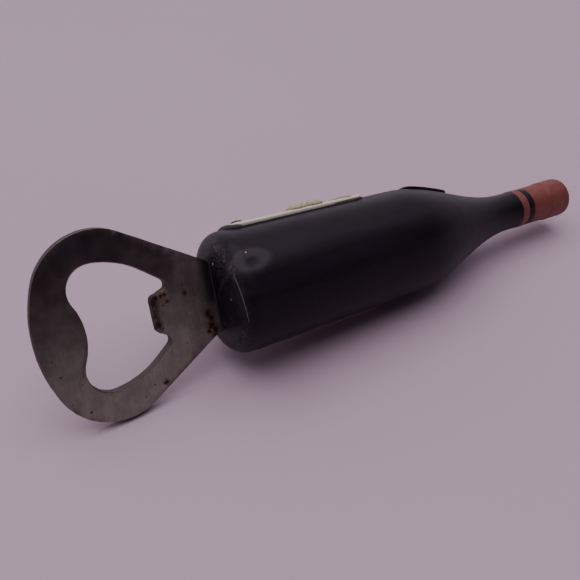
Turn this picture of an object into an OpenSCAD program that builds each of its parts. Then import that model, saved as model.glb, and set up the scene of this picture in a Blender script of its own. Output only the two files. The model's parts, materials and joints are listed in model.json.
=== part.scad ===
// Crown-cap opener with a handle shaped like a small wine bottle.
// Units: millimetres. The model lies as it rests on a table: +Z up, table top at z = 0,
// neck towards +X, label side towards +Y.
//
// Each piece is drawn in the bottle's own frame and then laid down by at_rest().
// Bottle frame: +x from the base towards the neck along the axis, base face at x = 0;
// +z across the width of the steel plate; +y square to the plate, towards the label.

/* [Opener plate] */
// Thickness of the steel
plate_t = 2.28; // [1.5:0.01:3]
// Distance from the bottle's axis to the middle of the plate
plate_offset = 1.98; // [0:0.01:3]
// Far end of the ring, measured from the base face
ring_reach = 39.5; // [36:0.1:44]
// Radius of the nearly flat far end of the ring
ring_end_r = 31.5; // [28:0.1:36]
// Radius of the ring's corners next to the far end
ring_corner_r = 13.7; // [12:0.1:16]
// Radius of the ring where it runs into the straight sides
ring_side_r = 12; // [10:0.1:13]
// Angle between each straight side and the axis
side_angle = 31; // [28:0.5:34]
// Distance from the base face centre to each straight side
side_distance = 6.85; // [6:0.05:8]

/* [Cap hole] */
// Centre of the two large lobes along the axis, from the base face
lobe_x = -25.7; // [-27:0.1:-24]
// Centre of the two large lobes across the plate
lobe_z = 8.5; // [8:0.1:9.5]
// Radius of the large lobes
lobe_r = 5.3; // [4.5:0.1:6]
// Top of the bulge that bears on the cap
bulge_x = -29.03; // [-30.2:0.01:-28.6]
// Radius of the long arcs between the large and the small lobes
flank_r = 19; // [17:0.1:22]
// Radius of the two small lobes beside the tooth
small_lobe_r = 1.5; // [1.2:0.1:1.8]
// Half the spacing of the small lobes
small_lobe_z = 6; // [5.7:0.05:6.4]
// Tip of the lifting tooth along the axis
tooth_x = -14.55; // [-15.5:0.05:-13.5]
// Half the width of the tooth at its tip
tooth_half = 3.6; // [3:0.1:4]
// How far the tooth and small lobes are punched off centre
tooth_shift = -0.5; // [-0.8:0.05:0.3]

/* [Tang] */
// Length of the tang inside the bottle
tang_l = 24; // [18:1:30]
// Half the width of the tang
tang_half = 6; // [5:0.1:6.4]
// Radius of the two holes that key the tang
key_hole_r = 2; // [1:0.1:2.5]
// Gap between the steel and the slot, filled with adhesive
glue_gap = 0.35; // [0.2:0.05:0.6]

/* [Bottle] */
// Radius of the body at the base
base_r = 14; // [13:0.1:15]
// Radius of the body where the shoulder starts
body_r = 13.45; // [12.5:0.05:14]
// Radius of the rounded base edge
base_edge_r = 3.8; // [2:0.1:5]
// Where the shoulder starts along the axis
shoulder_start = 50; // [46:2:54]
// Where the shoulder runs out into the neck
neck_start = 88; // [84:2:90]
// Radius of the neck
neck_r = 5.1; // [4.5:0.05:5.5]
// Distance from the base to the middle of the dimple
dimple_x = 4.9; // [4:0.1:7]
// Degrees that the dimple stands above the middle of the plain side
dimple_turn = 35.5; // [25:0.5:45]
// Radius of the dimple's ball-shaped hollow in the body
dimple_r = 16; // [10:1:20]
// Depth of the dimple
dimple_depth = 0.45; // [0.2:0.05:0.6]

/* [Labels] */
// Thickness of the front label
label_t = 0.85; // [0.6:0.05:0.9]
// Label end towards the base
label_x0 = 7; // [5:0.1:8]
// Label end towards the neck
label_x1 = 42.4; // [40:0.1:43]
// Degrees of the body that the front label covers
label_sweep = 187; // [170:1:195]
// Width of the dark line along the foot of the label
border_w = 0.4; // [0.3:0.05:0.6]
// Height of the dark line above the body
border_t = 0.3; // [0.2:0.05:0.5]
// Width of the border at the base end of the label
base_border_w = 1.5; // [0.5:0.05:1.8]
// Height of the label's corner scrolls above the body
scroll_t = 1.15; // [1:0.05:1.3]
// Gap from the base end of the label to its corner scrolls
scroll_gap = 1.7; // [1.5:0.1:3]
// Length of a corner scroll along the bottle
scroll_l = 2.5; // [2:0.1:3.5]
// Thickness of the shoulder label
shoulder_label_t = 0.7; // [0.4:0.05:0.7]
// Distance from the base to the near edge of the shoulder label
shoulder_label_x0 = 57; // [56:0.5:60]
// Distance from the base to the far edge of the shoulder label
shoulder_label_x1 = 69; // [66:0.5:72]

/* [Capsule] */
// Start of the copper stripe along the axis
stripe_x = 91.3; // [90:0.1:92]
// Start of the dark band
band_x = 93.7; // [93:0.1:94.5]
// Start of the capsule
capsule_x = 95.9; // [95:0.1:97]
// End of the capsule
capsule_end = 110.6; // [108:0.1:113]
// Radius of the capsule's lip ring
lip_r = 5.45; // [5:0.05:6]

/* [Rest] */
// Angle that the plate leans back from upright
lean = 25.8; // [25.8:0.1:25.8]
// Angle that the axis dips towards the neck
dip = 4.6; // [4.6:0.1:4.6]

/* [Hidden] */
$fn = 96;

// Where the base face centre comes to lie, so that the part stands on z = 0 over the origin
rest_place = [-35.49, -0.545, 18];

plate_back = plate_offset + plate_t / 2;
core_r = 4.6;
lap = 1;

function arc(centre, r, from, to, steps) =
    [for (i = [0:steps]) centre + r * [cos(from + (to - from) * i / steps),
                                       sin(from + (to - from) * i / steps)]];
function mirrored(points) = [for (i = [len(points) - 1:-1:0]) [points[i][0], -points[i][1]]];
function dir(a) = [cos(a), sin(a)];

// Straight side of the plate: half width at a place along the axis
function side_z(x) = (side_distance - x * sin(side_angle)) / cos(side_angle);

// Radius of the bottle at a place along the axis
function bottle_r(x) = x < shoulder_start
    ? base_r - (base_r - body_r) * x / shoulder_start
    : neck_r + (body_r - neck_r) * (1 + cos(180 * (x - shoulder_start) / (neck_start - shoulder_start))) / 2;

// Lays a piece down as it rests on the table
module at_rest() {
    translate(rest_place) rotate([0, dip, 0]) rotate([-lean, 0, 0]) children();
}

// Turns a piece made round Z so that its axis is the bottle's axis
module on_axis() {
    rotate([0, 90, 0]) children();
}

// Raises an outline drawn as [x, z] into a slab that is centred on the plate
module slab(thickness) {
    translate([0, plate_offset + thickness / 2, 0]) rotate([90, 0, 0]) linear_extrude(thickness) children();
}

// A skin over the bottle between two places and two angles; 90 degrees is the middle of the label
module skin(x0, x1, step, inner, outer, from, to) {
    stations = [for (x = [x0:step:x1 - 0.01]) x];
    places = concat(stations, [x1]);
    low = [for (x = places) [bottle_r(x) + inner, x]];
    high = [for (i = [len(places) - 1:-1:0]) [bottle_r(places[i]) + outer, places[i]]];
    on_axis() rotate([0, 0, from]) rotate_extrude(angle = to - from) polygon(concat(low, high));
}

// Centre of a small lobe beside the tooth, tucked into the straight edge that follows the flank arc
function small_lobe(sign, flank_edge) =
    let (z = small_lobe_z + sign * tooth_shift,
         x = (flank_edge - small_lobe_r - z * sin(52)) / cos(52))
    [x, z];
// One side of the hole that takes the cap, from the bulge round to the tooth
function hole_side(sign) =
    let (k = lobe_x - bulge_x,
         lobe = [lobe_x, lobe_z],
         bulge_r = (k * k + lobe_z * lobe_z - lobe_r * lobe_r) / (2 * lobe_r - 2 * k),
         bulge = [bulge_x - bulge_r, 0],
         meet = atan2(lobe_z, lobe_x - bulge[0]),
         flank = lobe - (flank_r - lobe_r) * dir(85),
         flank_edge = flank * dir(52) + flank_r,
         small = small_lobe(sign, flank_edge),
         root = tooth_half + 1.3 + sign * tooth_shift,
         tip = tooth_half + sign * tooth_shift)
    concat(arc(bulge, bulge_r, 0, meet, 8),
           arc(lobe, lobe_r, meet + 180, 85, 14),
           arc(flank, flank_r, 85, 52, 8),
           arc(small, small_lobe_r, 52, -40, 8),
           [[small[0] + 0.45, root]],
           arc([tooth_x + 1.2, tip - 0.5], 1.2, 80, 180, 5));

module cap_hole() {
    polygon(concat(hole_side(1), mirrored(hole_side(-1))));
}

// Outline of one side of the plate, from the tang round to the far end
function plate_side() =
    let (side = [sin(side_angle), cos(side_angle)],
         near_x = -24.4,
         near = [near_x, (side_distance - ring_side_r - near_x * side[0]) / side[1]],
         corner = near - (ring_corner_r - ring_side_r) * dir(90),
         far = [ring_end_r - ring_reach, 0],
         blend = 180 - asin(corner[1] / (ring_end_r - ring_corner_r)))
    concat([[tang_l, 0], [tang_l, tang_half - 2]],
           arc([tang_l - 2, tang_half - 2], 2, 0, 90, 4),
           [[(side_z(0) - tang_half) / tan(side_angle), tang_half]],
           arc(near, ring_side_r, 90 - side_angle, 90, 8),
           arc(corner, ring_corner_r, 90, blend, 14),
           arc(far, ring_end_r, blend, 180, 8));

module plate_outline() {
    polygon(concat(plate_side(), mirrored(plate_side())));
}

// The slot in the bottle that takes the tang
module slot_outline() {
    half = tang_half + glue_gap;
    wide = side_z(0) + glue_gap / cos(side_angle);
    turn_x = (wide - half) / tan(side_angle);
    end = tang_l + glue_gap;
    edge = [[-lap, wide + lap * tan(side_angle)], [turn_x, half], [end, half]];
    polygon(concat(edge, mirrored(edge)));
}

module opener_plate() {
    color("#7d7370") at_rest() slab(plate_t) difference() {
        plate_outline();
        cap_hole();
        for (x = [9, 18]) translate([x, 0]) circle(key_hole_r);
    }
}

module tang_adhesive() {
    bead = 0.3;
    color("#3a3634") at_rest() difference() {
        union() {
            intersection() {
                slab(plate_t + 2 * glue_gap) slot_outline();
                translate([0, -20, -20]) cube([tang_l + 2, 40, 40]);
            }
            translate([-bead, plate_offset - plate_t / 2 - 0.7, -side_z(0) - 0.7])
                cube([bead, plate_t + 1.4, 2 * side_z(0) + 1.4]);
        }
        slab(plate_t) difference() {
            plate_outline();
            for (x = [9, 18]) translate([x, 0]) circle(key_hole_r);
        }
    }
}

module bottle_body() {
    edge = arc([base_edge_r, bottle_r(base_edge_r) - base_edge_r], base_edge_r, 180, 90, 9);
    curve = [for (x = [shoulder_start:2:neck_start]) [x, bottle_r(x)]];
    core = [[stripe_x, neck_r], [stripe_x, core_r], [capsule_end - 1.6, core_r], [capsule_end - 1.6, 0]];
    line = concat([[0, 0]], edge, curve, core);
    color("#1d1b20") at_rest() difference() {
        on_axis() rotate_extrude() polygon([for (p = line) [p[1], p[0]]]);
        slab(plate_t + 2 * glue_gap) slot_outline();
        rotate([90 - dimple_turn, 0, 0])
            translate([dimple_x, 0, bottle_r(dimple_x) + dimple_r - dimple_depth])
                sphere(dimple_r);
    }
}

label_from = 90 - label_sweep / 2;
label_to = 90 + label_sweep / 2;
border_angle = border_w / base_r * 180 / PI;

// The two raised scrolls at the base end of the label, as a skin between two heights
module scrolls(inner, outer) {
    for (middle = [17.5, 162.5])
        skin(label_x0 + scroll_gap, label_x0 + scroll_gap + scroll_l, 60, inner, outer,
             middle - 4.5, middle + 4.5);
}

module label_panel() {
    color("#d9d2bb") at_rest() {
        skin(label_x0, label_x1, 60, 0, label_t, label_from, label_to);
        scrolls(0.1, scroll_t);
    }
}

module label_border() {
    outer_from = label_from - border_angle;
    outer_to = label_to + border_angle;
    color("#2a2220") at_rest() {
        skin(label_x0 - base_border_w, label_x0, 60, 0, label_t, outer_from, outer_to);
        skin(label_x1, label_x1 + border_w, 60, 0, border_t, outer_from, outer_to);
        skin(label_x0, label_x1, 60, 0, border_t, outer_from, label_from);
        skin(label_x0, label_x1, 60, 0, border_t, label_to, outer_to);
        scrolls(scroll_t, scroll_t + 0.25);
    }
}

// A ball on the label: place along the axis, angle as in skin(), radius, and how far it is sunk
module berry(x, angle, r, sunk) {
    on_axis() rotate([0, 0, angle]) translate([bottle_r(x) + label_t - sunk, 0, x]) sphere(r, $fn = 32);
}

// A bunch of berries in staggered rows that run round the bottle
module bunch(x, angle, turn, r) {
    rows = 4;
    for (row = [0:rows - 1]) {
        count = rows - row;
        for (i = [0:count - 1])
            berry(x + (i - (count - 1) / 2) * 1.7 * r, angle + turn * row * 6.4, r, 0.3 * r);
    }
}

module label_relief() {
    color("#c2b596") at_rest() {
        difference() {
            union() {
                bunch(28.5, 166, -1, 1.55);
                bunch(27, 40, 1, 1.85);
            }
            on_axis() cylinder(r = base_r, h = 60);
            skin(label_x0, label_x1, 60, -3, label_t, 20, 200);
        }
        skin(27, 28.2, 60, label_t, label_t + 0.5, 66, 144);
    }
}

module shoulder_label() {
    color("#171417") at_rest()
        skin(shoulder_label_x0, shoulder_label_x1, 2, 0, shoulder_label_t, -3, 183);
}

module ring_of(x0, x1, r) {
    on_axis() rotate_extrude() polygon([[core_r, x0], [r, x0], [r, x1], [core_r, x1]]);
}

module capsule_stripe() {
    color("#a8614c") at_rest() ring_of(stripe_x, band_x, neck_r + 0.1);
}

module capsule_band() {
    color("#1d1b20") at_rest() ring_of(band_x, capsule_x, neck_r + 0.05);
}

module capsule() {
    inner_end = capsule_end - 1.6;
    round_r = 1.8;
    lip = arc([lip_r - round_r, capsule_end - round_r], round_r, 0, 90, 6);
    line = concat([[core_r, capsule_x], [neck_r, capsule_x], [neck_r + 0.05, capsule_x + 1],
                   [lip_r - 0.25, capsule_x + 3], [lip_r - 0.2, capsule_x + 6.2], [lip_r, capsule_x + 7.4]],
                  lip, [[0, capsule_end], [0, inner_end], [core_r, inner_end]]);
    color("#a8614c") at_rest() on_axis() rotate_extrude() polygon(line);
}

opener_plate();
tang_adhesive();
bottle_body();
label_panel();
label_border();
label_relief();
shoulder_label();
capsule_stripe();
capsule_band();
capsule();
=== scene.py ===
import json
import math
import random
from functools import partial

import bmesh
import bpy
from mathutils import Matrix, Vector, noise
from mathutils.geometry import delaunay_2d_cdt


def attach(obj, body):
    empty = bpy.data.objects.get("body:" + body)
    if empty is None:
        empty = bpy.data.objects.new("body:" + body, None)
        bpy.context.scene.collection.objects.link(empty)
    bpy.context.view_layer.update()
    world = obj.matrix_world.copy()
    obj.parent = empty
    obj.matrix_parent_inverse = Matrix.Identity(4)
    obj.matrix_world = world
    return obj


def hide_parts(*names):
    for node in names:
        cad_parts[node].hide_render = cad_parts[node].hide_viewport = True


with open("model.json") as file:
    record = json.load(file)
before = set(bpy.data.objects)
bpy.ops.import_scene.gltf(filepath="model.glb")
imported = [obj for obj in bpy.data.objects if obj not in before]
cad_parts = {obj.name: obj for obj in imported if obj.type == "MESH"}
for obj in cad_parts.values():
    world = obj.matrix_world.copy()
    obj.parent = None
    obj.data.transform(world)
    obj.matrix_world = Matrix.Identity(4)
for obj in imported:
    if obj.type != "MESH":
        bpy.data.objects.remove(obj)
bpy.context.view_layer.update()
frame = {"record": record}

# ---------------------------------------------------------------------------------------------
# The bottle's own frame, in millimetres: +x along the axis from the base face to the neck,
# +z across the steel plate, +y square to the plate towards the label. LAY lays it on the table.
# ---------------------------------------------------------------------------------------------
MM = 0.001
LENGTH = 110.6
LEAN = math.radians(25.8)

mounts = {m["name"]: m for m in frame["record"]["mounts"]}
AXIS = Vector(mounts["capsule_end"]["axis"]).normalized()
DIP = math.atan2(-AXIS.z, AXIS.x)
BASE_CENTRE = Vector(mounts["capsule_end"]["pos_m"]) - AXIS * LENGTH * MM
TURN = Matrix.Rotation(DIP, 4, "Y") @ Matrix.Rotation(-LEAN, 4, "X")
LAY = Matrix.Translation(BASE_CENTRE) @ TURN @ Matrix.Scale(MM, 4)

# Steel plate
PLATE_T = 2.28
PLATE_Y = 1.98
SIDE_ANGLE = math.radians(31)
SIDE_DISTANCE = 6.85
RING_REACH = 39.5

# Bottle
BASE_R = 14.0
BODY_R = 13.45
BASE_EDGE = 3.8
SHOULDER = 50.0
NECK = 88.0
NECK_R = 5.1
CORE_R = 4.6
DEG = math.degrees(1 / BASE_R)
# The sink mark low on the plain side: place, angle, half length, half width, depth
DIMPLE = (4.8, 234.5, 3.5, 2.3, 0.24)

# Label
LABEL_X = (7.0, 42.4)
LABEL_A = (-3.5, 183.5)
LABEL_T = 0.85
LABEL_CORNER = 2.4
LINE_W = 0.4
LINE_T = 0.3
# How much wider the dark line is at the label's base end
BASE_LINE_EXTRA = 1.1
BOSS_T = 1.15
SHOULDER_LABEL_X = (57.0, 69.0)
SHOULDER_LABEL_A = (-3.0, 183.0)
SHOULDER_LABEL_T = 0.7

# Capsule
STRIPE_X = 91.3
BAND_X = 93.7
CAPSULE_X = 95.9
LIP_R = 5.45


def bottle_r(x):
    """Radius of the bottle at a place along its axis."""
    if x < SHOULDER:
        return BASE_R - (BASE_R - BODY_R) * x / SHOULDER
    if x > NECK:
        return NECK_R
    t = (x - SHOULDER) / (NECK - SHOULDER)
    return NECK_R + (BODY_R - NECK_R) * (1 + math.cos(math.pi * t)) / 2


def on_bottle(x, angle, r):
    """A point at radius r round the axis; 90 degrees is the middle of the label."""
    a = math.radians(angle)
    return Vector((x, r * math.sin(a), -r * math.cos(a)))


def wobble(p, size, seed=0.0):
    """Smooth noise from -1 to 1 at a point, with lumps of about size millimetres."""
    return noise.noise(Vector(p) / size + Vector((seed, seed * 0.7, seed * 1.3)))


# ---------------------------------------------------------------------------------------------
# Mesh helpers: everything is drawn in the bottle's frame and laid down once, in piece()
# ---------------------------------------------------------------------------------------------
def piece(name, verts, faces, node, material, smooth_angle=50):
    """Makes one visible piece that stands for a CAD node."""
    mesh = bpy.data.meshes.new(name)
    mesh.from_pydata([LAY @ Vector(v) for v in verts], [], faces)
    mesh.validate()
    obj = bpy.data.objects.new(name, mesh)
    bpy.context.collection.objects.link(obj)
    tidy(mesh)
    dress(obj, node, material, smooth_angle)
    return obj


def tidy(mesh):
    """Joins points that lie together and turns every face outwards."""
    bm = bmesh.new()
    bm.from_mesh(mesh)
    bmesh.ops.remove_doubles(bm, verts=bm.verts, dist=0.002 * MM)
    bmesh.ops.recalc_face_normals(bm, faces=bm.faces)
    bm.to_mesh(mesh)
    bm.free()


def dress(obj, node, material, smooth_angle):
    """Gives a piece its material and shading and ties it to its CAD node."""
    mesh = obj.data
    mesh.materials.clear()
    mesh.materials.append(material)
    for polygon in mesh.polygons:
        polygon.use_smooth = True
    mesh.set_sharp_from_angle(angle=math.radians(smooth_angle))
    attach(obj, "root")
    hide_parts(node)


def arc(cx, cy, r, start, end, steps):
    """Points on an arc, angles in degrees."""
    turn = [math.radians(start + (end - start) * i / steps) for i in range(steps + 1)]
    return [(cx + r * math.cos(t), cy + r * math.sin(t)) for t in turn]


def grid_faces(rows, columns, wrap=False, start=0):
    """Faces of a grid of points; wrap joins its last column to its first."""
    faces = []
    last = columns if wrap else columns - 1
    for i in range(rows - 1):
        for j in range(last):
            k = (j + 1) % columns
            a = start + i * columns
            b = a + columns
            faces.append((a + j, a + k, b + k, b + j))
    return faces


def lathe(name, profile, node, material, segments=144, shape=None):
    """Turns a profile of (place, radius) round the axis; shape() may move the surface."""
    verts = []
    for x, r in profile:
        for j in range(segments):
            angle = 360 * j / segments
            out = shape(x, angle, r) if shape else r
            verts.append(on_bottle(x, angle, out))
    faces = grid_faces(len(profile), segments, wrap=True)
    for end in (0, len(profile) - 1):
        ring = [end * segments + j for j in range(segments)]
        if profile[end][1] < 1e-6:
            continue
        middle = len(verts)
        verts.append(Vector((profile[end][0], 0, 0)))
        faces += [(ring[j], ring[(j + 1) % segments], middle) for j in range(segments)]
    return piece(name, verts, faces, node, material)


def spaced(low, high, step):
    count = max(1, round((high - low) / step))
    return [low + (high - low) * i / count for i in range(count + 1)]


def patch(x_range, a_range, height, step, bottom):
    """A closed skin on the bottle. height(x, angle) is its height above the bottle's surface."""
    xs = spaced(*x_range, step)
    angles = spaced(*a_range, step / BASE_R * 57.3)
    verts = [on_bottle(x, a, bottle_r(x) + height(x, a)) for x in xs for a in angles]
    faces = grid_faces(len(xs), len(angles))
    under = len(verts)
    verts += [on_bottle(x, a, bottle_r(x) + bottom) for x in xs for a in angles]
    faces += [tuple(reversed(f)) for f in grid_faces(len(xs), len(angles), start=under)]
    na, nx = len(angles), len(xs)
    rim = [j for j in range(na)]
    rim += [i * na + na - 1 for i in range(1, nx)]
    rim += [(nx - 1) * na + j for j in range(na - 2, -1, -1)]
    rim += [i * na for i in range(nx - 2, 0, -1)]
    for k, a in enumerate(rim):
        b = rim[(k + 1) % len(rim)]
        faces.append((a, b, b + under, a + under))
    return verts, faces


def rounded(distance, edge):
    """Height from 0 to 1 of an edge rounded over a width, from the distance to it."""
    t = min(max(distance / edge, 0), 1)
    return math.sqrt(1 - (1 - t) ** 2)


# ---------------------------------------------------------------------------------------------
# Material helpers
# ---------------------------------------------------------------------------------------------
def opaque(color):
    """A colour of three numbers with its alpha added; a socket stays as it is."""
    return (*color, 1) if isinstance(color, tuple) else color


class Paint:
    """A node material with coordinates in the bottle's frame, in millimetres."""

    def __init__(self, name):
        self.material = bpy.data.materials.new(name)
        self.material.use_nodes = True
        self.tree = self.material.node_tree
        self.shader = self.tree.nodes["Principled BSDF"]
        place = self.node("ShaderNodeMapping", vector_type="TEXTURE")
        place.inputs["Location"].default_value = BASE_CENTRE
        place.inputs["Rotation"].default_value = TURN.to_euler("XYZ")
        place.inputs["Scale"].default_value = (MM, MM, MM)
        self.link(self.node("ShaderNodeTexCoord").outputs["Object"], place.inputs["Vector"])
        self.spot = place.outputs["Vector"]
        self.xyz = self.node("ShaderNodeSeparateXYZ")
        self.link(self.spot, self.xyz.inputs[0])

    def node(self, kind, **values):
        made = self.tree.nodes.new(kind)
        for key, value in values.items():
            setattr(made, key, value)
        return made

    def link(self, source, target):
        self.tree.links.new(source, target)

    def feed(self, value, target):
        if isinstance(value, bpy.types.NodeSocket):
            self.link(value, target)
        else:
            target.default_value = value

    def math(self, operation, a, b=0.0, clamp=False):
        made = self.node("ShaderNodeMath", operation=operation, use_clamp=clamp)
        self.feed(a, made.inputs[0])
        self.feed(b, made.inputs[1])
        return made.outputs[0]

    def mul(self, a, b):
        return self.math("MULTIPLY", a, b)

    def add(self, a, b):
        return self.math("ADD", a, b)

    def minus(self, a, b, clamp=False):
        return self.math("SUBTRACT", a, b, clamp)

    def stretched(self, scale):
        made = self.node("ShaderNodeMapping")
        made.inputs["Scale"].default_value = scale
        self.link(self.spot, made.inputs["Vector"])
        return made.outputs["Vector"]

    def noise(self, size, detail=3.0, rough=0.55, stretch=None, distortion=0.0):
        made = self.node("ShaderNodeTexNoise")
        self.link(self.stretched(stretch) if stretch else self.spot, made.inputs["Vector"])
        made.inputs["Scale"].default_value = 1 / size
        made.inputs["Detail"].default_value = detail
        made.inputs["Roughness"].default_value = rough
        made.inputs["Distortion"].default_value = distortion
        return made.outputs["Fac"]

    def cells(self, size, feature="F1", stretch=None):
        made = self.node("ShaderNodeTexVoronoi", feature=feature)
        self.link(self.stretched(stretch) if stretch else self.spot, made.inputs["Vector"])
        made.inputs["Scale"].default_value = 1 / size
        return made.outputs["Distance"]

    def step(self, value, low, high):
        """0 below low, 1 above high, smooth between; low may be the larger one."""
        made = self.node("ShaderNodeMapRange", interpolation_type="SMOOTHSTEP")
        self.feed(value, made.inputs["Value"])
        made.inputs["From Min"].default_value = min(low, high)
        made.inputs["From Max"].default_value = max(low, high)
        made.inputs["To Min"].default_value = 0.0 if low < high else 1.0
        made.inputs["To Max"].default_value = 1.0 if low < high else 0.0
        return made.outputs["Result"]

    def lerp(self, value, low, high):
        made = self.node("ShaderNodeMapRange")
        self.feed(value, made.inputs["Value"])
        made.inputs["To Min"].default_value = low
        made.inputs["To Max"].default_value = high
        return made.outputs["Result"]

    def mix(self, amount, a, b):
        made = self.node("ShaderNodeMix", data_type="RGBA")
        self.feed(amount, made.inputs[0])
        self.feed(opaque(a), made.inputs[6])
        self.feed(opaque(b), made.inputs[7])
        return made.outputs[2]

    def near(self, centre, radius, ragged=None):
        """1 within a radius of a point in the bottle's frame, with a ragged edge."""
        made = self.node("ShaderNodeVectorMath", operation="DISTANCE")
        self.link(self.spot, made.inputs[0])
        made.inputs[1].default_value = centre
        distance = made.outputs["Value"]
        if ragged is not None:
            distance = self.add(distance, self.mul(ragged, radius * 4))
        return self.step(distance, radius * 1.35, radius)

    def most(self, values):
        result = values[0]
        for value in values[1:]:
            result = self.math("MAXIMUM", result, value)
        return result

    def bump(self, height, distance, strength=1.0, under=None):
        made = self.node("ShaderNodeBump")
        self.feed(height, made.inputs["Height"])
        made.inputs["Distance"].default_value = distance * MM
        made.inputs["Strength"].default_value = strength
        if under is not None:
            self.link(under, made.inputs["Normal"])
        return made.outputs["Normal"]

    def finish(self, color, roughness, normal=None, metallic=0.0, **fixed):
        self.feed(opaque(color), self.shader.inputs["Base Color"])
        self.feed(roughness, self.shader.inputs["Roughness"])
        self.feed(metallic, self.shader.inputs["Metallic"])
        if normal is not None:
            self.link(normal, self.shader.inputs["Normal"])
        for key, value in fixed.items():
            self.shader.inputs[key.replace("_", " ")].default_value = value
        return self.material


# ---------------------------------------------------------------------------------------------
# Materials
# ---------------------------------------------------------------------------------------------
# Larger rust spots on the front of the plate: place along the axis, place across, radius
RUST_SPOTS = [
    (-6.7, 2.6, 0.4), (-6.9, 4.5, 0.12), (-7.3, 4.2, 0.1), (-4.6, 1.5, 0.16),
    (-11.4, 3.4, 0.3), (-11.1, 1.8, 0.26), (-12.2, 3.3, 0.3), (-12.0, 1.2, 0.14),
    (-13.5, 3.2, 0.45), (-14.0, 2.2, 0.4), (-13.9, -2.6, 0.3), (-13.2, -3.6, 0.2),
    (-2.6, -3.4, 0.5), (-1.9, -4.6, 0.45), (-2.2, -6.2, 0.6), (-1.4, -7.4, 0.55),
    (-1.6, -8.7, 0.35), (-3.0, -7.4, 0.3), (-14.9, -15.5, 0.3), (-15.4, -15.6, 0.18),
    (-17.6, -15.2, 0.12), (-31.8, -16.4, 0.22), (-36.0, -7.3, 0.16),
]


def steel():
    """Brushed steel: rusty at the tooth and by the joint, dark and dull where it enters the base."""
    p = Paint("worn_steel")
    brushed = p.noise(0.4, 4, 0.6, stretch=(1, 1, 0.06))
    patches = p.noise(4.5, 5, 0.7)
    fine = p.noise(0.3, 3, 0.7)
    crumb = p.minus(p.noise(0.55, 5, 0.8, distortion=0.8), 0.5)
    x, y, z = p.xyz.outputs
    front_y = PLATE_Y - PLATE_T / 2
    spots = p.most([p.near((x0, front_y, z0), r, crumb) for x0, z0, r in RUST_SPOTS])
    large = [spot for spot in RUST_SPOTS if spot[2] > 0.25]
    halo = p.most([p.near((x0, front_y, z0), r * 2.2, crumb) for x0, z0, r in large])
    pits = p.mul(p.step(p.cells(1.3), 0.17, 0.06), p.step(p.noise(5, 2), 0.48, 0.6))
    pits = p.mul(pits, p.step(z, 3.0, -1.0))
    # Rust along the edge of the tooth
    tooth = p.mul(p.step(x, -15.2, -14.7), p.step(x, -12.4, -13.9))
    middle = p.step(p.math("ABSOLUTE", p.add(z, 0.2)), 4.9, 3.9)
    edge = p.mul(p.mul(tooth, middle), p.step(p.noise(1.1, 5, 0.75), 0.38, 0.52))
    rust = p.most([spots, p.mul(pits, 0.85), p.mul(edge, 0.9)])
    # Near-black colour on the steel close to the base, thinning out away from the base and downwards
    near_base_dark = p.step(p.add(x, p.lerp(p.noise(3.0, 3, 0.5), -0.5, 0.5)), -5.0, -0.9)
    near_base_dark = p.mul(near_base_dark, p.lerp(p.step(z, -6.0, 0.5), 0.3, 1.0))
    # The sheared edge between the two faces
    depth = p.math("ABSOLUTE", p.minus(y, PLATE_Y))
    cut = p.step(depth, PLATE_T / 2 - 0.021, PLATE_T / 2 - 0.06)
    metal = p.mix(p.step(patches, 0.35, 0.7), (0.195, 0.157, 0.152), (0.278, 0.231, 0.217))
    metal = p.mix(p.mul(p.step(brushed, 0.35, 0.75), 0.35), metal, (0.12, 0.094, 0.088))
    stain = p.mul(p.step(p.noise(3.2, 5, 0.7), 0.52, 0.75), 0.35)
    metal = p.mix(stain, metal, (0.15, 0.11, 0.095))
    metal = p.mix(p.mul(halo, 0.6), metal, (0.07, 0.030, 0.016))
    metal = p.mix(p.mul(cut, 0.85), metal, (0.055, 0.040, 0.037))
    color = p.mix(rust, metal, p.mix(fine, (0.006, 0.003, 0.002), (0.040, 0.013, 0.005)))
    color = p.mix(p.mul(near_base_dark, 0.95), color, (0.005, 0.0035, 0.004))
    rough = p.lerp(p.add(p.mul(brushed, 0.5), p.mul(patches, 0.5)), 0.12, 0.27)
    rough = p.most([rough, p.mul(rust, 0.85), p.mul(cut, 0.7),
                    p.mul(p.step(x, -14.0, -0.5), 0.6)])
    cover = p.most([rust, p.mul(near_base_dark, 0.9), p.mul(cut, 0.8),
                    p.mul(halo, 0.5)])
    metallic = p.minus(1.0, cover, clamp=True)
    relief = p.add(p.mul(brushed, 0.6), p.mul(fine, 0.25))
    relief = p.minus(relief, p.mul(rust, 0.8))
    return p.finish(color, rough, p.bump(relief, 0.02, 0.5), metallic, Specular_IOR_Level=0.2)


def satin_black(name, base_wear=True):
    """The casting's black paint, with long painted highlight streaks and fine scratches."""
    p = Paint(name)
    broad = p.noise(14, 3, 0.5)
    haze = p.noise(2.6, 5, 0.65)
    peel = p.noise(0.9, 3, 0.5)
    fine = p.noise(0.22, 3, 0.6)
    scratch = p.step(p.cells(6, "DISTANCE_TO_EDGE", stretch=(0.35, 1, 1)), 0.012, 0.004)
    scratch = p.mul(scratch, p.step(p.noise(5, 3), 0.55, 0.7))
    # Painted highlight: lighter streaks along the axis stand in for soft streaky highlights
    highlight_streaks = p.step(p.noise(4.5, 3, 0.5, stretch=(0.1, 1, 1)), 0.5, 0.75)
    color = p.mix(broad, (0.0050, 0.0034, 0.0062), (0.0085, 0.0060, 0.0105))
    color = p.mix(p.mul(highlight_streaks, 0.5), color, (0.017, 0.0135, 0.021))
    color = p.mix(p.mul(scratch, 0.08), color, (0.11, 0.10, 0.105))
    rough = p.lerp(p.add(p.mul(haze, 0.7), p.mul(fine, 0.3)), 0.30, 0.50)
    normal = p.bump(p.add(peel, p.mul(fine, 0.2)), 0.03, 0.5)
    if base_wear:
        color, rough = worn_base(p, color, rough, haze)
    tint = (0.95, 0.84, 1.0, 1.0)
    return p.finish(color, rough, normal, Specular_IOR_Level=0.2, Specular_Tint=tint)
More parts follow.
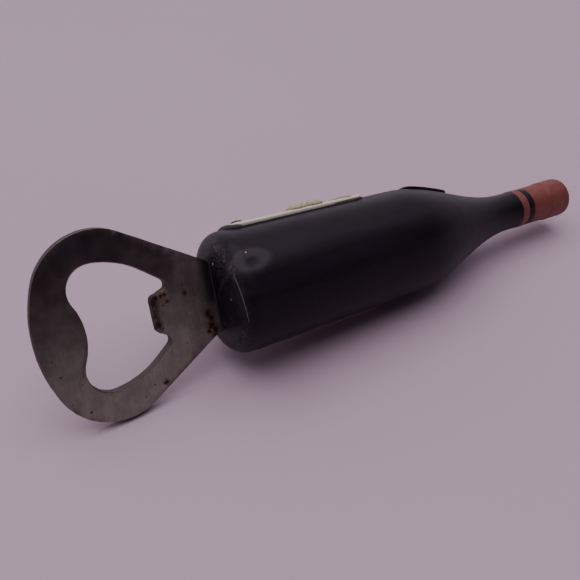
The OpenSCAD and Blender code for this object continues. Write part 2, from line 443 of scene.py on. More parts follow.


# Small pale spots on the casting: place in the bottle's frame, radius
PALE_SPOTS = [((0.0, -1.4, 7.6), 0.22), ((0.0, -7.6, 0.4), 0.14), ((4.4, -9.8, 9.9), 0.14)]


def worn_base(p, color, rough, haze):
    """Chalky rubbing on the base, a painted highlight halo round the sink mark and one long scratch."""
    x, y, z = p.xyz.outputs
    angle = p.mul(p.math("ARCTAN2", y, p.mul(z, -1.0)), 57.3)
    angle = p.add(angle, p.mul(p.math("LESS_THAN", angle, 0.0), 360.0))
    grit = p.step(p.noise(0.55, 5, 0.8, distortion=0.8), 0.48, 0.6)
    sides = p.step(p.math("ABSOLUTE", z), 4.0, 8.0)
    chalk = p.mul(p.mul(p.step(x, 2.2, 0.2), grit), p.lerp(sides, 0.2, 1.0))
    rub = p.mul(p.step(x, 5.0, 1.0), p.step(haze, 0.48, 0.7))
    speck = p.mul(p.step(p.cells(3.2), 0.06, 0.03), p.step(p.noise(9, 2), 0.5, 0.6))
    place, at, half_x, half_a, _ = DIMPLE
    dx = p.math("DIVIDE", p.minus(x, place), half_x)
    da = p.math("DIVIDE", p.minus(angle, at), half_a * DEG)
    d = p.math("SQRT", p.add(p.mul(dx, dx), p.mul(da, da)))
    # Painted highlight: a light halo round the sink mark, stronger on the side of smaller angles
    sink_halo_highlight = p.mul(p.step(d, 0.2, 0.8), p.step(d, 1.7, 0.9))
    sink_halo_highlight = p.mul(sink_halo_highlight, p.lerp(p.noise(0.7, 5, 0.75, stretch=(0.4, 1, 1)), 0.0, 1.3))
    sink_halo_highlight = p.mul(sink_halo_highlight, p.lerp(p.step(da, 1.4, -1.0), 0.45, 1.5))
    turn = p.minus(angle, 235.0)
    line = p.add(0.49, p.mul(p.mul(turn, turn), 0.00022))
    near_line = p.step(p.math("ABSOLUTE", p.minus(x, line)), 0.09, 0.03)
    ends = p.mul(p.step(angle, 236, 246), p.step(angle, 291, 286))
    scratch = p.mul(near_line, ends)
    # Small pale spots at the listed places
    chip = p.most([p.near(spot, size) for spot, size in PALE_SPOTS])
    color = p.mix(p.mul(chalk, 0.5), color, (0.15, 0.142, 0.142))
    color = p.mix(p.mul(rub, 0.2), color, (0.07, 0.064, 0.066))
    # Painted highlight halo round the sink mark
    color = p.mix(p.mul(sink_halo_highlight, 0.22), color, (0.21, 0.175, 0.195))
    color = p.mix(p.mul(speck, 0.5), color, (0.3, 0.29, 0.27))
    color = p.mix(p.mul(scratch, 0.35), color, (0.3, 0.29, 0.31))
    color = p.mix(p.mul(chip, 0.8), color, (0.6, 0.6, 0.6))
    rough = p.math("MAXIMUM", rough, p.mul(p.most([chalk, rub, sink_halo_highlight]), 0.72))
    return color, rough


def cream_label():
    """Cream paint with some dirt, and painted shade: dark brown along the lower edge where the label
    meets the table.
    """
    p = Paint("cream_label")
    blotch = p.noise(5, 4, 0.6)
    grit = p.noise(0.4, 4, 0.7)
    dirt = p.step(p.noise(1.3, 5, 0.75), 0.52, 0.78)
    color = p.mix(blotch, (0.62, 0.555, 0.455), (0.70, 0.64, 0.55))
    color = p.mix(p.mul(dirt, 0.35), color, (0.36, 0.29, 0.19))
    # Painted shade: dark brown on the label's lower edge by the table, standing in for its contact
    # shadow
    low = p.mul(p.step(p.xyz.outputs[1], 3.0, 1.0), p.step(p.xyz.outputs[2], -8, -10))
    color = p.mix(p.mul(low, 0.85), color, (0.10, 0.072, 0.05))
    height = p.add(grit, p.mul(blotch, 1.5))
    return p.finish(color, p.lerp(grit, 0.5, 0.75), p.bump(height, 0.05, 0.6))


def dark_line():
    """Dark brown paint, chipped here and there."""
    p = Paint("dark_line")
    chip = p.step(p.noise(0.8, 4, 0.7), 0.62, 0.74)
    color = p.mix(p.noise(1.5, 3), (0.018, 0.011, 0.011), (0.045, 0.028, 0.026))
    color = p.mix(p.mul(chip, 0.5), color, (0.22, 0.18, 0.13))
    return p.finish(color, p.lerp(p.noise(0.5, 3), 0.45, 0.7), p.bump(p.noise(0.4, 4), 0.04, 0.6))


def beige_relief():
    """Beige paint, turning dark brown where the relief sits low between its raised parts."""
    p = Paint("beige_relief")
    away = p.node("ShaderNodeVectorMath", operation="LENGTH")
    p.link(p.stretched((0, 1, 1)), away.inputs[0])
    height = p.minus(away.outputs["Value"], BASE_R - 0.3 + LABEL_T)
    hollow = p.step(p.add(height, p.lerp(p.noise(0.6, 4, 0.7), -0.5, 0.5)), 1.0, 0.1)
    speck = p.step(p.noise(0.7, 5, 0.75), 0.5, 0.7)
    color = p.mix(p.noise(2.5, 3), (0.46, 0.385, 0.28), (0.57, 0.50, 0.385))
    color = p.mix(p.mul(hollow, 0.7), color, (0.2, 0.13, 0.07))
    color = p.mix(p.mul(speck, 0.45), color, (0.27, 0.19, 0.11))
    return p.finish(color, p.lerp(speck, 0.55, 0.8), p.bump(p.noise(0.35, 4, 0.7), 0.06, 0.7))


def copper_paint(name):
    """Mottled copper-red paint, dark in patches at the neck's end."""
    p = Paint(name)
    x = p.xyz.outputs[0]
    mottle = p.noise(2.2, 5, 0.7)
    fine = p.noise(0.3, 4, 0.7)
    drips = p.noise(1.4, 4, 0.6, stretch=(0.3, 1, 1))
    color = p.mix(mottle, (0.165, 0.036, 0.030), (0.255, 0.066, 0.052))
    color = p.mix(p.mul(p.step(drips, 0.48, 0.7), 0.45), color, (0.115, 0.030, 0.027))
    tip = p.mul(p.step(x, LENGTH - 5, LENGTH - 0.5), p.step(mottle, 0.42, 0.62))
    color = p.mix(p.mul(tip, 0.7), color, (0.075, 0.035, 0.035))
    glint = p.step(p.cells(0.35), 0.2, 0.1)
    color = p.mix(p.mul(glint, 0.2), color, (0.55, 0.27, 0.2))
    normal = p.bump(p.add(mottle, p.mul(fine, 0.4)), 0.08, 0.6)
    return p.finish(color, p.lerp(fine, 0.42, 0.66), normal, 0.25)


def cured_glue():
    """Dark, dull adhesive."""
    p = Paint("cured_glue")
    color = p.mix(p.noise(0.9, 4), (0.006, 0.005, 0.006), (0.024, 0.018, 0.015))
    return p.finish(color, p.lerp(p.noise(0.5, 3), 0.5, 0.8), p.bump(p.noise(0.5, 3), 0.08, 0.8))


def table_top():
    """Plain pale table with a few small marks."""
    p = Paint("pale_table")
    broad = p.noise(140, 3, 0.5)
    paper = p.noise(0.9, 4, 0.6)
    color = p.mix(broad, (0.515, 0.387, 0.478), (0.555, 0.420, 0.511))
    mark = p.mul(p.step(p.cells(46), 0.022, 0.012), 0.25)
    color = p.mix(mark, color, (0.38, 0.32, 0.37))
    normal = p.bump(paper, 0.03, 0.25)
    return p.finish(color, p.lerp(paper, 0.55, 0.7), normal, Specular_IOR_Level=0.3)


# ---------------------------------------------------------------------------------------------
# Opener plate
# ---------------------------------------------------------------------------------------------
def side_z(x):
    """Half the width of the web at a place along its straight sides."""
    return (SIDE_DISTANCE - x * math.sin(SIDE_ANGLE)) / math.cos(SIDE_ANGLE)


def plate_side():
    """One side of the plate's outline, from the end of the tang to the far end of the ring."""
    near_x, near_r, corner_r, far_r = -24.4, 12.0, 13.7, 31.5
    near_z = (SIDE_DISTANCE - near_r - near_x * math.sin(SIDE_ANGLE)) / math.cos(SIDE_ANGLE)
    corner_z = near_z - (corner_r - near_r)
    blend = 180 - math.degrees(math.asin(corner_z / (far_r - corner_r)))
    straight = 90 - math.degrees(SIDE_ANGLE)
    points = [(24, 0), (24, 4)] + arc(22, 4, 2, 0, 90, 5)
    points += [((side_z(0) - 6) / math.tan(SIDE_ANGLE), 6)]
    points += arc(near_x, near_z, near_r, straight, 90, 10)
    points += arc(near_x, corner_z, corner_r, 90, blend, 24)[1:]
    points += arc(far_r - RING_REACH, 0, far_r, blend, 180, 14)[1:]
    return points


def hole_side(sign):
    """One side of the cap hole, from the bulge round to the tooth."""
    lobe, lobe_r, bulge_x, flank_r, small_r = Vector((-25.7, 8.5)), 5.3, -29.03, 19.0, 1.5
    tooth_x, tooth_half, shift = -14.55, 3.6, -0.5 * sign
    k = lobe.x - bulge_x
    bulge_r = (k * k + lobe.y ** 2 - lobe_r ** 2) / (2 * lobe_r - 2 * k)
    meet = math.degrees(math.atan2(lobe.y, k + bulge_r))
    lean, slope = math.radians(85), math.radians(52)
    flank = lobe - (flank_r - lobe_r) * Vector((math.cos(lean), math.sin(lean)))
    edge = flank.x * math.cos(slope) + flank.y * math.sin(slope) + flank_r
    small_z = 6 + shift
    small_x = (edge - small_r - small_z * math.sin(slope)) / math.cos(slope)
    points = arc(bulge_x - bulge_r, 0, bulge_r, 0, meet, 14)
    points += arc(*lobe, lobe_r, meet + 180, 85, 26)
    points += arc(*flank, flank_r, 85, 52, 16)[1:]
    points += arc(small_x, small_z, small_r, 52, -40, 8)
    points += [(small_x + 0.45, tooth_half + 1.3 + shift)]
    points += arc(tooth_x + 1.2, tooth_half - 0.5 + shift, 1.2, 80, 180, 7)
    return points


def closed_loop(upper, lower):
    loop = upper + [(x, -z) for x, z in reversed(lower)]
    return [p for i, p in enumerate(loop) if math.dist(p, loop[i - 1]) > 1e-4]


def resampled(loop, step, soften):
    """Evenly spaced points round a loop, with its corners softened a little."""
    out = []
    for i, a in enumerate(loop):
        b = loop[(i + 1) % len(loop)]
        count = max(1, round(math.dist(a, b) / step))
        out += [Vector(a) + (Vector(b) - Vector(a)) * k / count for k in range(count)]
    for _ in range(soften):
        after = out[1:] + out[:1]
        out = [(out[i - 1] + 2 * out[i] + after[i]) / 4 for i in range(len(out))]
    return out


def normals_of(loop, outward):
    """Unit normals at the points of a loop; outward is 1 or -1."""
    result = []
    for i in range(len(loop)):
        along = (loop[(i + 1) % len(loop)] - loop[i - 1]).normalized()
        result.append(Vector((along.y, -along.x)) * outward)
    return result


def signed_area(loop):
    return sum(loop[i - 1].x * loop[i].y - loop[i].x * loop[i - 1].y for i in range(len(loop))) / 2


def slab(loops, section, place, pitch, within):
    """A closed slab from an outline and its holes.

    The section is a list of (inset, height) from one face to the other. place(u, v, height) gives
    the point, and within(p) says whether a point lies on the face, clear of its edges.
    """
    flat, faces, rims = [], [], ([], [])
    for k, loop in enumerate(loops):
        outward = 1 if (signed_area(loop) > 0) == (k == 0) else -1
        start, count = len(flat), len(loop)
        for inset, height in section:
            flat += [(*(p + n * inset), height) for p, n in zip(loop, normals_of(loop, outward))]
        faces += grid_faces(len(section), count, wrap=True, start=start)
        last = start + (len(section) - 1) * count
        rims[0].append(list(range(start, start + count)))
        rims[1].append(list(range(last, last + count)))
    for rim in rims:
        fill_face(flat, faces, rim, pitch, within)
    return [place(*p) for p in flat], faces


def fill_face(flat, faces, rims, pitch, within):
    """Fills the flat face inside a rim and outside the holes, with a grid of points in it."""
    index = [i for rim in rims for i in rim]
    border = [Vector(flat[i][:2]) for i in index]
    edges, start = [], 0
    for rim in rims:
        edges += [(start + k, start + (k + 1) % len(rim)) for k in range(len(rim))]
        start += len(rim)
    height = flat[index[0]][2]
    low = [min(p[k] for p in border) for k in (0, 1)]
    high = [max(p[k] for p in border) for k in (0, 1)]
    inner = []
    for i in range(int((high[0] - low[0]) / pitch)):
        for j in range(int((high[1] - low[1]) / pitch)):
            p = Vector((low[0] + (i + 0.5 + 0.5 * (j % 2)) * pitch, low[1] + (j + 0.5) * pitch))
            if within(p):
                inner.append(p)
    coords, _, tris, origins, _, _ = delaunay_2d_cdt(border + inner, edges, [], 0, 1e-6)
    where = []
    for co, origin in zip(coords, origins):
        source = [o for o in origin if o < len(border)]
        where.append(index[source[0]] if source else len(flat))
        if not source:
            flat.append((co.x, co.y, height))
    loops = []
    start = 0
    for rim in rims:
        loops.append(border[start:start + len(rim)])
        start += len(rim)
    for tri in tris:
        middle = sum((coords[k] for k in tri), Vector((0, 0))) / 3
        if in_loop(middle, loops[0]) and not any(in_loop(middle, hole) for hole in loops[1:]):
            faces.append(tuple(where[k] for k in tri))


def in_loop(point, loop):
    hit = False
    for i in range(len(loop)):
        a, b = loop[i - 1], loop[i]
        if (a.y > point.y) != (b.y > point.y):
            if point.x < (b.x - a.x) * (point.y - a.y) / (b.y - a.y) + a.x:
                hit = not hit
    return hit


def opener_plate():
    front, back = PLATE_Y - PLATE_T / 2, PLATE_Y + PLATE_T / 2
    rolled, burr = 0.2, 0.12
    section = [(-rolled * (1 - math.sin(t)), front + rolled * (1 - math.cos(t)))
               for t in (0, 0.26, 0.52, 0.79, 1.05, 1.31, math.pi / 2)]
    section += [(0.0, front + PLATE_T * f) for f in (0.3, 0.45, 0.6, 0.75)]
    section += [(-burr * (1 - math.cos(t)), back - burr * (1 - math.sin(t)))
                for t in (0.0, 0.5, 1.0, math.pi / 2)]
    outer = resampled(closed_loop(plate_side(), plate_side()), 0.45, 2)
    hole = resampled(closed_loop(hole_side(1), hole_side(-1)), 0.3, 3)

    def within(p):
        on_steel = in_loop(p, outer) and not in_loop(p, hole)
        return on_steel and min((p - q).length_squared for q in outer + hole) > 0.7

    def place(x, z, y):
        """Adds the press's shallow ripples in both faces and the torn band of the cut."""
        if abs(y - PLATE_Y) < PLATE_T / 2 - 1e-4:
            torn = 0.05 * wobble((x, y * 3, z), 1.1)
            return Vector((x + torn, y, z + torn))
        depth = 0.010 * (1 + wobble((x, 0, z), 8, 3))
        return Vector((x, y + math.copysign(depth, PLATE_Y - y), z))

    verts, faces = slab((outer, hole), section, place, 1.3, within)
    return piece("opener_plate_worn", verts, faces, "opener_plate", steel(), 40)


# ---------------------------------------------------------------------------------------------
# Bottle, capsule and its rings
# ---------------------------------------------------------------------------------------------
def dimple(x, angle):
    """The shallow oval sink mark low on the plain side, with a faint raised lip round it."""
    place, at, half_x, half_a, deep = DIMPLE
    off = (angle - at + 180) % 360 - 180
    d = math.hypot((x - place) / half_x, math.radians(off) * BASE_R / half_a)
    if d > 1.8:
        return 0.0
    pit = -deep * (1 - d * d) ** 2 if d < 1 else 0.0
    return pit + 0.04 * math.exp(-((d - 1.1) / 0.3) ** 2)


def cast_surface(x, angle, r):
    """The casting's surface: soft waves, a faint mould seam and the dimple."""
    if r < 0.5:
        return r
    p = on_bottle(x, angle, r)
    soft = 0.05 * wobble(p, 9, 2) + 0.018 * wobble(p, 3, 5)
    seam = 0.03 * math.exp(-(min(abs((angle + d) % 360 - 180) for d in (90, 270)) / 0.5) ** 2)
    fade = 0.2 if x > NECK + 2 or x < 0.3 else 1.0
    return r + fade * (soft - 0.05) + dimple(x, angle) + (seam if 4 < x < NECK else 0)


def bottle_body():
    centre = bottle_r(BASE_EDGE) - BASE_EDGE
    profile = [(0.0, r) for r in (0.0, 2.5, 5.0, 7.5, 9.2)]
    profile += arc(BASE_EDGE, centre, BASE_EDGE, 180, 90, 14)
    profile += [(x, bottle_r(x)) for x in spaced(BASE_EDGE, STRIPE_X, 0.55)[1:]]
    profile += [(STRIPE_X, CORE_R), (LENGTH - 1.6, CORE_R), (LENGTH - 1.6, 0.0)]
    paint = satin_black("satin_black")
    return lathe("bottle_body_cast", profile, "bottle_body", paint, 240, cast_surface)


def painted_ring(name, x0, x1, r, node, material):
    """A ring of paint thickness with soft, slightly uneven hand-painted edges."""
    soft = 0.12
    edge = [(soft * (1 - math.cos(t)), r - soft + soft * math.sin(t)) for t in (0.2, 0.8, 1.57)]
    profile = [(x0, CORE_R)] + [(x0 + inset, out) for inset, out in edge]
    profile += [(x, r) for x in spaced(x0 + soft, x1 - soft, 0.3)[1:-1]]
    profile += [(x1 - inset, out) for inset, out in reversed(edge)] + [(x1, CORE_R)]

    def uneven(x, angle, out):
        return out if out <= CORE_R else out + 0.03 * wobble(on_bottle(x, angle, out), 1.6, 4)

    return lathe(name, profile, node, material, 128, uneven)


def capsule_stripe():
    paint = copper_paint("copper_stripe")
    return painted_ring("capsule_stripe_paint", STRIPE_X, BAND_X, NECK_R + 0.08, "capsule_stripe", paint)


def capsule_band():
    paint = satin_black("band_black", False)
    return painted_ring("capsule_band_paint", BAND_X, CAPSULE_X, NECK_R + 0.02, "capsule_band", paint)


def capsule():
    step, bulge, flare, edge_r = 0.35, 0.1, 0.24, 1.8
    start = [(CAPSULE_X, CORE_R), (CAPSULE_X, NECK_R - 0.12), (CAPSULE_X + 0.12, NECK_R - 0.02)]
    waist = [(x, NECK_R + bulge * rounded(x - CAPSULE_X - 0.8, 2.6))
             for x in spaced(CAPSULE_X + 0.4, CAPSULE_X + 5.9, step)]
    rise = [(CAPSULE_X + 5.9 + 1.3 * t, NECK_R + bulge + flare * (1 - math.cos(math.pi * t)) / 2)
            for t in (0.2, 0.4, 0.6, 0.8, 1)]
    ring = [(x, LIP_R - 0.01 + 0.01 * math.sin(x))
            for x in spaced(CAPSULE_X + 7.6, LENGTH - 1.9, step)]
    close = arc(LENGTH - edge_r, LIP_R - edge_r, edge_r, 90, 0, 10)
    close += [(LENGTH, 2.4), (LENGTH, 1.2), (LENGTH, 0.0)]

    def crumpled(x, angle, out):
        if out <= CORE_R:
            return out
        p = on_bottle(x, angle, out)
        return out - 0.06 + 0.09 * wobble(p, 2.6, 6) + 0.035 * wobble(p, 0.9, 9)

    profile = start + waist + rise + ring + close
    return lathe("capsule_sleeve", profile, "capsule", copper_paint("copper_capsule"), 160, crumpled)


# ---------------------------------------------------------------------------------------------
# Labels
# ---------------------------------------------------------------------------------------------
# The two bosses in the corners at the label's base end: place, angle
BOSSES = ((LABEL_X[0] + 2.95, 162.5), (LABEL_X[0] + 2.95, 17.5))


def label_outline(x_range, a_range, corner, grow=0.0):
    """A round-cornered label as a loop of points, both ways in millimetres at the body's radius."""
    half_x = (x_range[1] - x_range[0]) / 2 + grow
    half_s = (a_range[1] - a_range[0]) / 2 / DEG + grow
    cx, cs = sum(x_range) / 2, sum(a_range) / 2 / DEG
    r = corner + grow
    loop = []
    for sx, ss, start in ((1, 1, 0), (-1, 1, 90), (-1, -1, 180), (1, -1, 270)):
        loop += arc(cx + sx * (half_x - r), cs + ss * (half_s - r), r, start, start + 90, 10)
    return resampled(loop, 0.4, 0)


def raised_label(x_range, a_range, corner, thickness, edge, lumps):
    """A label of even thickness with a rounded edge, wrapped on the bottle."""
    top = [(-edge * (1 - math.sin(t)), thickness - edge * (1 - math.cos(t)))
           for t in (0, 0.3, 0.6, 0.9, 1.2, math.pi / 2)]
    outline = label_outline(x_range, a_range, corner)

    def within(p):
        return inside(p.x, p.y * DEG, x_range, a_range, corner) > 0.8

    def place(x, s, height):
        if height > 0.1:
            height += lumps * (wobble((x, s, 3), 5, 1) + 0.4 * wobble((x, s, 7), 1.4, 2))
        return on_bottle(x, s * DEG, bottle_r(x) + height)

    return slab((outline,), top + [(0.0, thickness * 0.3), (0.0, -0.3)], place, 0.9, within)


def inside(x, angle, x_range, a_range, corner):
    """Distance in millimetres to the edge of a round-cornered label, positive inside."""
    dx = abs(x - sum(x_range) / 2) - (x_range[1] - x_range[0]) / 2 + corner
    ds = (abs(angle - sum(a_range) / 2) - (a_range[1] - a_range[0]) / 2) / DEG + corner
    return corner - math.hypot(max(dx, 0), max(ds, 0)) - min(max(dx, ds), 0)


def label_panel():
    def boss(x, angle, place, at):
        d = math.hypot((x - place) / 1.5, (angle - at) / 5.2)
        return LABEL_T - 0.15 + (BOSS_T + 0.15 - LABEL_T) * rounded(1 - d, 0.7)

    parts = [raised_label(LABEL_X, LABEL_A, LABEL_CORNER, LABEL_T, 0.3, 0.03)]
    for place, at in BOSSES:
        height = partial(boss, place=place, at=at)
        parts.append(patch((place - 1.7, place + 1.7), (at - 6, at + 6), height, 0.2, LABEL_T - 0.5))
    verts, faces = joined(parts)
    return piece("label_panel_cream", verts, faces, "label_panel", cream_label())


def bead(path, width, height, closed=True):
    """A raised half-round line on the bottle along a path of (place, angle)."""
    verts, ring = [], 9
    count = len(path)
    for i, (x, angle) in enumerate(path):
        before = path[i - 1] if closed or i > 0 else path[0]
        after = path[(i + 1) % count] if closed or i < count - 1 else path[-1]
        across = Vector((-(after[1] - before[1]) / DEG, after[0] - before[0])).normalized()
        taper = 1.0 if closed else rounded(min(i, count - 1 - i) / (count - 1) + 0.03, 0.2)
        wide = width(x) / 2
        for k in range(ring):
            t = math.pi * k / (ring - 1)
            off = -math.cos(t) * wide * (1 + 0.12 * wobble((x, angle / 4, 0), 1.5, 3))
            up = math.sin(t) ** 0.6 * height(x, angle) * taper - 0.05
            spot = (x + across.x * off, angle + across.y * off * DEG)
            verts.append(on_bottle(*spot, bottle_r(x) + up))
        for off in (wide, -wide):
            spot = (x + across.x * off, angle + across.y * off * DEG)
            verts.append(on_bottle(*spot, bottle_r(x) - 0.3))
    ring += 2
    faces = grid_faces(count, ring, wrap=True)
    if closed:
        last = (count - 1) * ring
        faces += [(last + j, last + (j + 1) % ring, (j + 1) % ring, j) for j in range(ring)]
    else:
        faces += [tuple(range(ring)), tuple((count - 1) * ring + j for j in reversed(range(ring)))]
    return verts, faces


def joined(parts):
    verts, faces = [], []
    for more, extra in parts:
        faces += [tuple(i + len(verts) for i in face) for face in extra]
        verts += more
    return verts, faces


def label_border():
    """The dark line along the foot of the label, thick and tall at its base end, and the
    rings and pips on the corner bosses."""
    def at_base(x):
        return rounded(LABEL_X[0] + 1.8 - x, 1.8)

    def height(x, angle):
        return LINE_T + (LABEL_T - LINE_T) * at_base(x) + 0.04 * wobble((x, angle / 4, 0), 2, 7)

    outline = label_outline(LABEL_X, LABEL_A, LABEL_CORNER, LINE_W / 2)
    path = [(p.x - BASE_LINE_EXTRA / 2 * at_base(p.x), p.y * DEG) for p in outline]
    parts = [bead(path, lambda x: LINE_W + BASE_LINE_EXTRA * at_base(x), height)]
    for place, at in BOSSES:
        turn = [math.pi * k / 20 for k in range(40)]
        ring = [(place + 1.25 * math.cos(t), at + 3.6 * math.sin(t)) for t in turn]
        parts.append(bead(ring, lambda x: 0.4, lambda x, angle: BOSS_T + 0.22))
        parts.append(ball(on_bottle(place, at, bottle_r(place) + BOSS_T), 0.42, place))
    verts, faces = joined(parts)
    return piece("label_border_line", verts, faces, "label_border", dark_line())


def ball(centre, r, seed):
    """One berry, a little uneven."""
    bm = bmesh.new()
    bmesh.ops.create_icosphere(bm, subdivisions=3, radius=1.0)
    verts = [centre + v.co * r * (1 + 0.1 * wobble(v.co, 1.1, seed)) for v in bm.verts]
    faces = [tuple(v.index for v in f.verts) for f in bm.faces]
    bm.free()
    return verts, faces


def bunch(x, angle, turn, size, rise, seed):
    """A bunch of berries heaped on a few mounds that narrow along the way round the bottle."""
    mounds = [(-1.05, 0), (1.05, 0), (-0.8, 1.6), (0.85, 1.5), (0.0, 3.0)]
    parts, dice = [], random.Random(seed)
    for along, row in mounds:
        middle = Vector((x + along * size, (angle + turn * row * size * DEG) / DEG))
        core = on_bottle(middle.x, middle.y * DEG, bottle_r(middle.x) + LABEL_T - 0.3)
        parts.append(ball(core, rise + 0.1, seed))
        for ring, count in ((0.0, 1), (0.5, 5), (0.88, 9)):
            for k in range(count):
                t = 2 * math.pi * (k + 0.5 * ring) / count
                spot = middle + Vector((math.cos(t), math.sin(t))) * size * ring
                lift = rise * (1 - 0.75 * ring * ring) - 0.5 + dice.uniform(-0.12, 0.06)
                r = size * dice.uniform(0.29, 0.34)
                seat = on_bottle(spot.x, spot.y * DEG, bottle_r(spot.x) + LABEL_T + lift)
                parts.append(ball(seat, r, seed + k))
    return parts


def leaf(x, angle, reach, turn, rise):
    """A vine leaf with five lobes and raised veins."""
    def height(px, pa):
        dx, ds = px - x, (pa - angle) / DEG
        r, t = math.hypot(dx, ds), math.atan2(ds, dx) - turn
        lobes = 0.72 + 0.22 * math.cos(5 * t) + 0.06 * math.cos(15 * t) + 0.08 * math.cos(t)
        lobes *= reach
        vein = max(0.0, 1 - abs(math.sin(2.5 * t)) * r / 0.55)
        if r > lobes:
            return LABEL_T - 0.3
        return LABEL_T + rise * rounded(lobes - r, 1.2) + 0.18 * vein * (1 - r / lobes)

    span = reach * 1.15
    turned = span * DEG
    return patch((x - span, x + span), (angle - turned, angle + turned), height, 0.22, LABEL_T - 0.6)


def label_relief():
    parts = bunch(27.2, 171, -1, 2.15, 1.4, 11) + bunch(26.8, 38, 1, 2.6, 1.15, 23)
    parts.append(leaf(23.5, 124, 4.4, 0.4, 0.4))
    parts.append(leaf(32, 90, 4.2, 2.6, 0.4))
    parts.append(leaf(37.6, 168, 3.4, 1.2, 0.3))
    stem = [(27.6 + 0.9 * math.sin(math.radians(a) * 6), a) for a in range(60, 151)]
    parts.append(bead(stem, lambda x: 1.0, lambda x, angle: LABEL_T + 0.45, closed=False))
    verts, faces = joined(parts)
    mesh = bpy.data.meshes.new("relief_parts")
    mesh.from_pydata(verts, [], faces)
    obj = bpy.data.objects.new("label_relief_vine", mesh)
    bpy.context.collection.objects.link(obj)
    melt = obj.modifiers.new("melt", "REMESH")
    melt.mode = "VOXEL"
    melt.voxel_size = 0.16
    soft = obj.modifiers.new("soft", "SMOOTH")
    soft.factor = 0.5
    soft.iterations = 3
    bpy.context.view_layer.update()
    melted = obj.evaluated_get(bpy.context.evaluated_depsgraph_get())
    shape = bpy.data.meshes.new_from_object(melted)
    obj.modifiers.clear()
    obj.data = shape
    shape.transform(LAY)
    dress(obj, "label_relief", beige_relief(), 80)
    return obj


def shoulder_label():
    plaque = raised_label(SHOULDER_LABEL_X, SHOULDER_LABEL_A, 1.8, SHOULDER_LABEL_T, 0.35, 0.02)
    paint = satin_black("shoulder_black", False)
    return piece("shoulder_label_plaque", *plaque, "shoulder_label", paint)


def tang_adhesive():
    """The bead of adhesive that stands where the steel enters the base."""
    corner = 0.35
    cz, cy = side_z(0) + 0.05 - corner, PLATE_T / 2 + 0.02 - corner
    loop = []
    for sy, sz, start in ((1, 1, 0), (-1, 1, 90), (-1, -1, 180), (1, -1, 270)):
        loop += arc(sy * cy, sz * cz, corner, start, start + 90, 5)
    loop = resampled(loop, 0.25, 1)
    outward = normals_of(loop, 1 if signed_area(loop) > 0 else -1)
    section = [(-0.25, 0.6), (-0.25, -0.16), (0.02, -0.2), (0.12, -0.14),
               (0.22, -0.07), (0.34, -0.02), (0.42, 0.02), (0.38, 0.6)]
    verts = []
    for out, x in section:
        for p, n in zip(loop, outward):
            uneven = 1 + 0.5 * wobble((p.x, p.y, 0), 1.3, 5)
            q = p + n * (out * uneven if out > 0 else out)
            verts.append(Vector((x * uneven if x < 0 else x, PLATE_Y + q.x, q.y)))
    faces = grid_faces(len(section), len(loop), wrap=True)
    count = len(loop)
    last = (len(section) - 1) * count
    faces += [(last + j, last + (j + 1) % count, (j + 1) % count, j) for j in range(count)]
    return piece("tang_adhesive_bead", verts, faces, "tang_adhesive", cured_glue())


# ---------------------------------------------------------------------------------------------
# Table, light and camera
# ---------------------------------------------------------------------------------------------
def table():
    size = 1.6
    mesh = bpy.data.meshes.new("table")
    corners = [(-size, -size, 0), (size, -size, 0), (size, size, 0), (-size, size, 0)]
    mesh.from_pydata(corners, [], [(0, 1, 2, 3)])
    floor = bpy.data.objects.new("table", mesh)
    mesh.materials.append(table_top())
    bpy.context.collection.objects.link(floor)


def soft_light(name, place, aim, size, power, color):
    data = bpy.data.lights.new(name, "AREA")
    data.shape = "DISK"
    data.size = size
    data.energy = power
    data.color = color
    lamp = bpy.data.objects.new(name, data)
    lamp.location = place
    lamp.rotation_euler = (Vector(aim) - Vector(place)).to_track_quat("-Z", "Y").to_euler()
    bpy.context.collection.objects.link(lamp)


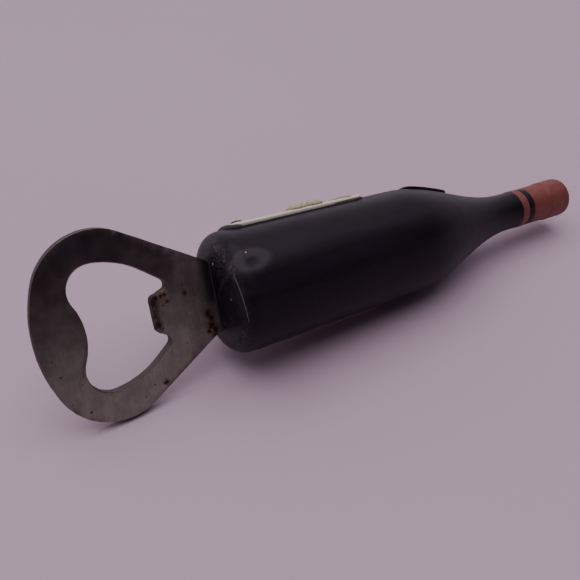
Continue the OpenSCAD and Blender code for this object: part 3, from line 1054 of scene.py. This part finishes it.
def studio():
    """One large soft light overhead, in a pale room that is dark on the camera's side."""
    soft_light("ceiling", (-0.05, 0.10, 1.05), (0, 0, 0), 1.5, 9.0, (1.0, 0.96, 1.0))
    world = bpy.data.worlds.new("room")
    world.use_nodes = True
    bpy.context.scene.world = world
    tree = world.node_tree
    split = tree.nodes.new("ShaderNodeSeparateXYZ")
    tree.links.new(tree.nodes.new("ShaderNodeTexCoord").outputs["Generated"], split.inputs[0])

    def ramp(source, low, high):
        made = tree.nodes.new("ShaderNodeMapRange")
        made.interpolation_type = "SMOOTHSTEP"
        tree.links.new(source, made.inputs["Value"])
        made.inputs["From Min"].default_value = low
        made.inputs["From Max"].default_value = high
        return made.outputs["Result"]

    def product(first, second):
        made = tree.nodes.new("ShaderNodeMath")
        made.operation = "MULTIPLY"
        tree.links.new(first, made.inputs[0])
        tree.links.new(second, made.inputs[1])
        return made.outputs[0]

    # The dark zone above the camera, where the person who holds it stands
    above = ramp(split.outputs[2], 0.13, 0.18)
    behind = ramp(split.outputs[1], -0.05, -0.4)
    dark = product(above, behind)

    def blend(amount, first, second):
        made = tree.nodes.new("ShaderNodeMix")
        made.data_type = "RGBA"
        tree.links.new(amount, made.inputs[0])
        if isinstance(first, tuple):
            made.inputs[6].default_value = first
        else:
            tree.links.new(first, made.inputs[6])
        made.inputs[7].default_value = second
        return made.outputs[2]

    # The pale wall beyond the table
    low = ramp(split.outputs[2], 0.45, 0.12)
    beyond = ramp(split.outputs[1], 0.2, 0.7)
    wall = product(low, beyond)
    room = blend(wall, (0.50, 0.447, 0.495, 1), (0.95, 0.85, 0.98, 1))
    room = blend(dark, room, (0.042, 0.031, 0.047, 1))
    tree.links.new(room, tree.nodes["Background"].inputs["Color"])
    tree.nodes["Background"].inputs["Strength"].default_value = 1.0


def camera():
    data = bpy.data.cameras.new("camera")
    data.sensor_width = 36
    data.lens = 36 * 700 / 580
    data.clip_start = 0.005
    eye = bpy.data.objects.new("camera", data)
    place = Vector((-0.0838, -0.1114, 0.1159))
    aim = Vector((-0.0088, 0.0122, 0.0))
    eye.location = place
    eye.rotation_euler = (aim - place).to_track_quat("-Z", "Y").to_euler()
    bpy.context.collection.objects.link(eye)
    bpy.context.scene.camera = eye


opener_plate()
bottle_body()
tang_adhesive()
label_panel()
label_border()
label_relief()
shoulder_label()
capsule_stripe()
capsule_band()
capsule()
table()
studio()
camera()
